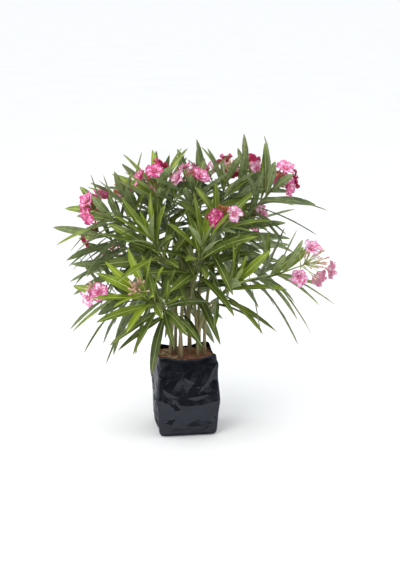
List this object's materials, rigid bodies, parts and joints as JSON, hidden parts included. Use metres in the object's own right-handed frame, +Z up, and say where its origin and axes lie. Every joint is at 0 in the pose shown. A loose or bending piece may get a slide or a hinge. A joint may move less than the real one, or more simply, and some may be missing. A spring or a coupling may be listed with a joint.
{
  "type": "potted oleander",
  "caption": "Flowering oleander bush with slender whorled leaves and pink blooms, standing in a black film grow bag filled with substrate.",
  "frame": {"origin": "middle of the grow bag's flat underside", "axes": "+Z up, +X to the right as the picture shows the plant, +Y away from the viewer"},
  "size_m": [0.6816, 0.6109, 0.7201],
  "materials": {
    "foliage": "satin",
    "bark": "matte",
    "substrate": "matte",
    "film": "glossy"
  },
  "bodies": {
    "root": {"bough_back_left_low": "bark", "bough_back_low": "bark", "bough_back_right_low": "bark", "bough_front_centre": "bark", "bough_front_left": "bark", "bough_front_right": "bark", "bough_left_back": "bark", "bough_left_low": "bark", "bough_right_back": "bark", "bough_right_low": "bark", "foliage_back_crown": "foliage", "foliage_back_left_crown": "foliage", "foliage_back_left_low": "foliage", "foliage_back_low": "foliage", "foliage_back_right_low": "foliage", "foliage_crown": "foliage", "foliage_crown_left": "foliage", "foliage_crown_right": "foliage", "foliage_front_centre": "foliage", "foliage_front_left": "foliage", "foliage_front_low": "foliage", "foliage_front_right": "foliage", "foliage_left_back": "foliage", "foliage_left_crown": "foliage", "foliage_left_low": "foliage", "foliage_left_upper": "foliage", "foliage_right_back": "foliage", "foliage_right_crown": "foliage", "foliage_right_front_low": "foliage", "foliage_right_low": "foliage", "foliage_right_upper": "foliage", "grow_bag": "film", "stem_back_crown": "bark", "stem_back_left_crown": "bark", "stem_crown": "bark", "stem_crown_left": "bark", "stem_crown_right": "bark", "stem_front_low": "bark", "stem_left_crown": "bark", "stem_left_upper": "bark", "stem_right_crown": "bark", "stem_right_front_low": "bark", "stem_right_upper": "bark", "substrate": "substrate"}
  },
  "joints": []
}
